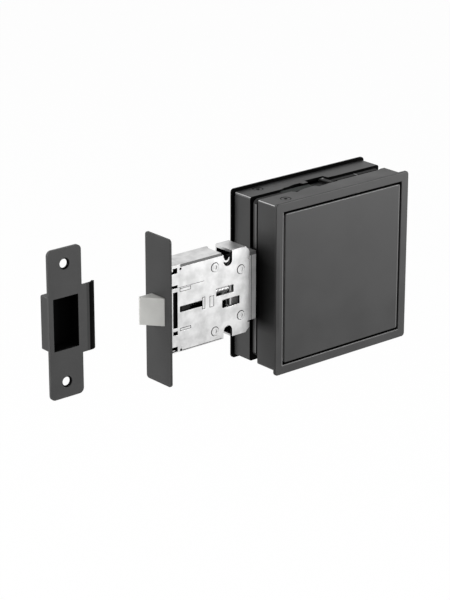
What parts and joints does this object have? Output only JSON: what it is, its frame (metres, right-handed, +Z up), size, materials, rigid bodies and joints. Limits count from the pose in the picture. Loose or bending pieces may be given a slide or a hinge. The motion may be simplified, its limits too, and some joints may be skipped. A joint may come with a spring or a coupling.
{
  "type": "flush pull mortise lock",
  "caption": "Mortise latch for a door, drawn back by square flush pulls on both faces whose panels push in, with a faceplate, a flat lock case and a separate strike with a dust box.",
  "frame": {"origin": "in the plane of the door's edge, at the height of the latch bolt and halfway through the door's thickness; the faceplate stands 0.5 mm proud of it", "axes": "+X into the door from its edge, +Y towards the rear pull, +Z up"},
  "size_m": [0.2345, 0.0382, 0.0982],
  "materials": {
    "grey_paint": "fine satin dark grey paint",
    "zinc_steel": "bright zinc plate",
    "latch_metal": "satin nickel",
    "spring_steel": "bright spring wire",
    "black_plastic": "matt black",
    "dark_plastic": "matt dark green-grey"
  },
  "bodies": {
    "fixed_parts": {"faceplate": "grey_paint", "forend": "zinc_steel", "latch_spring": "spring_steel", "case_body": "zinc_steel", "case_cover": "zinc_steel", "case_rivets": "zinc_steel", "screw_saddle": "zinc_steel", "slide_spring": "spring_steel", "tongue": "zinc_steel", "front_shell": "grey_paint", "rear_shell": "grey_paint", "front_hinge_pins": "grey_paint", "rear_hinge_pins": "grey_paint", "front_panel_springs": "spring_steel", "rear_panel_springs": "spring_steel", "core_frame": "black_plastic", "slide_guide": "dark_plastic", "stop_block": "black_plastic", "pull_screws": "zinc_steel", "strike_plate": "grey_paint", "dust_box": "black_plastic"},
    "latch": {"latch_bolt": "latch_metal", "latch_carrier": "black_plastic", "latch_stem": "zinc_steel"},
    "slide": {"draw_slide": "zinc_steel", "draw_claw": "zinc_steel"},
    "front_push_panel": {"front_panel": "grey_paint"},
    "rear_push_panel": {"rear_panel": "grey_paint"}
  },
  "joints": [
    {"name": "front_panel_hinge", "type": "hinge", "parent": "fixed_parts", "child": "front_push_panel", "pos_m": [0.0802, -0.0097, 0], "axis": [0, 0, 1], "range_deg": [0, 8], "stiffness_Nm_per_rad": 1.2, "springref_deg": -5.73},
    {"name": "rear_panel_hinge", "type": "hinge", "parent": "fixed_parts", "child": "rear_push_panel", "pos_m": [0.0802, 0.0132, 0], "axis": [0, 0, -1], "range_deg": [0, 8], "stiffness_Nm_per_rad": 1.2, "springref_deg": -5.73},
    {"name": "latch_slide", "type": "slide", "parent": "fixed_parts", "child": "latch", "axis": [1, 0, 0], "range_m": [0, 0.00861], "deforming": ["latch_spring"]},
    {"name": "draw_slide_travel", "type": "slide", "parent": "fixed_parts", "child": "slide", "axis": [1, 0, 0], "range_m": [0, 0.00861], "deforming": ["slide_spring"]}
  ],
  "couplings": [
    {"joint": "latch_slide", "follows": "front_panel_hinge", "m_per_rad": 0.061593},
    {"joint": "draw_slide_travel", "follows": "front_panel_hinge", "m_per_rad": 0.061593}
  ]
}
